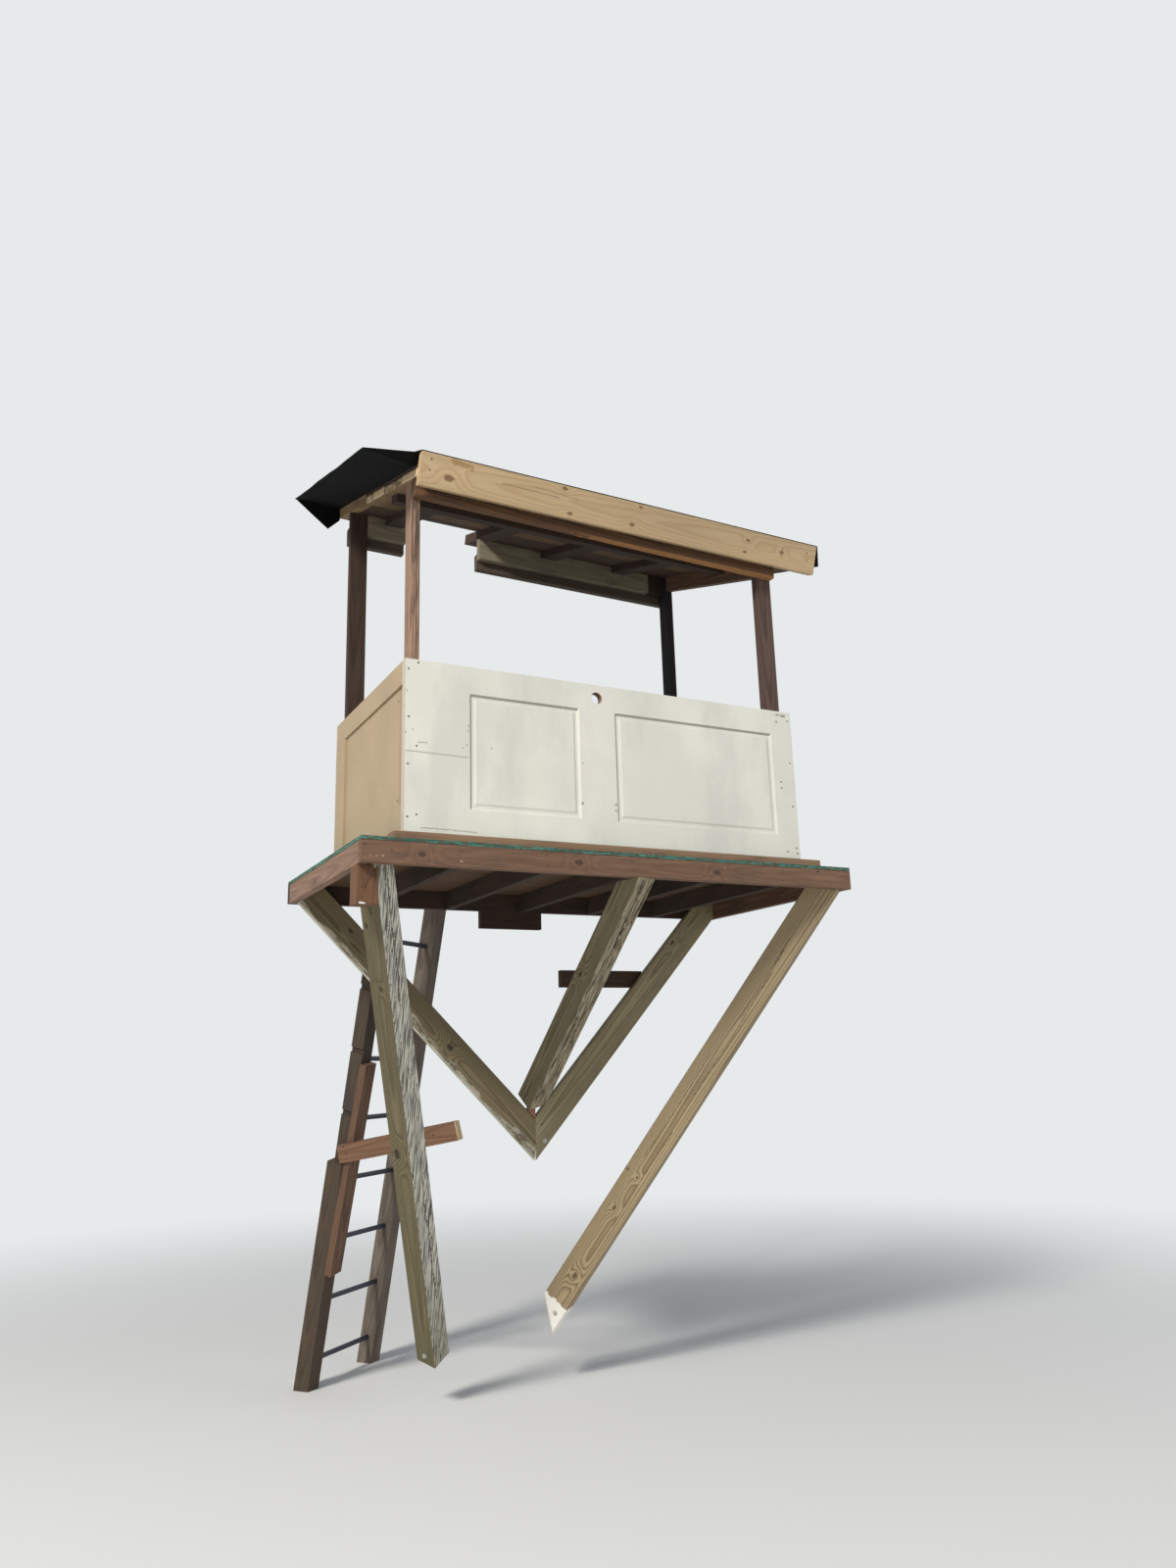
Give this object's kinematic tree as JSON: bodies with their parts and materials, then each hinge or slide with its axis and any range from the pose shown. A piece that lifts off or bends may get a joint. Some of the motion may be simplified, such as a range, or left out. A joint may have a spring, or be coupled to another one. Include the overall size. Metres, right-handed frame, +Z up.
{
  "type": "tree house on a braced timber deck",
  "caption": "Open-sided tree house on a braced timber deck, walled with old doors laid on their sides under a sloping roof, with a leaning ladder behind.",
  "frame": {"origin": "centre of the flat back face of the cleat that is bolted to the trunk", "axes": "+X along the deck to its right end seen from the front, +Y from the front of the deck into the trunk, +Z up"},
  "size_m": [2.4796, 2.4876, 4.5036],
  "materials": {
    "stained_lumber": "matte",
    "fresh_pine": "matte",
    "treated_pine": "matte",
    "grey_lumber": "matte",
    "roof_plywood": "matte",
    "deck_plywood": "matte",
    "white_door": "satin",
    "tan_door": "satin",
    "weathered_white": "matte",
    "black_roofing": "matte",
    "dark_metal": "satin"
  },
  "bodies": {
    "root": {"deck_sheet": "deck_plywood", "rim_front": "stained_lumber", "rim_back": "stained_lumber", "rim_left": "stained_lumber", "rim_right": "stained_lumber", "joists": "stained_lumber", "trunk_cleat": "stained_lumber", "sole_plate": "stained_lumber", "front_door": "white_door", "side_door_left": "tan_door", "side_door_right": "tan_door", "post_front_left": "stained_lumber", "post_front_right": "stained_lumber", "post_back_left": "stained_lumber", "post_back_right": "stained_lumber", "header_front": "stained_lumber", "roof_boards_front": "fresh_pine", "roof_boards_middle": "fresh_pine", "roof_panel_back": "roof_plywood", "roof_edge_strip": "fresh_pine", "roof_sheathing": "roof_plywood", "fascia": "fresh_pine", "roofing": "black_roofing", "purlin": "stained_lumber", "rafters": "stained_lumber", "rake_right": "stained_lumber", "back_board": "weathered_white", "back_block": "stained_lumber", "back_stretcher": "grey_lumber", "leg_brace_left": "treated_pine", "leg_brace_right": "treated_pine", "crotch_block": "stained_lumber", "tie_board": "stained_lumber", "corner_block": "stained_lumber", "brace_front_left": "treated_pine", "brace_front_right": "treated_pine", "brace_middle": "treated_pine", "ladder_rail_left_lower": "grey_lumber", "ladder_rail_left_upper": "grey_lumber", "ladder_rail_right": "grey_lumber", "ladder_sister": "stained_lumber", "cross_board": "stained_lumber", "ladder_rungs": "dark_metal"}
  },
  "joints": []
}
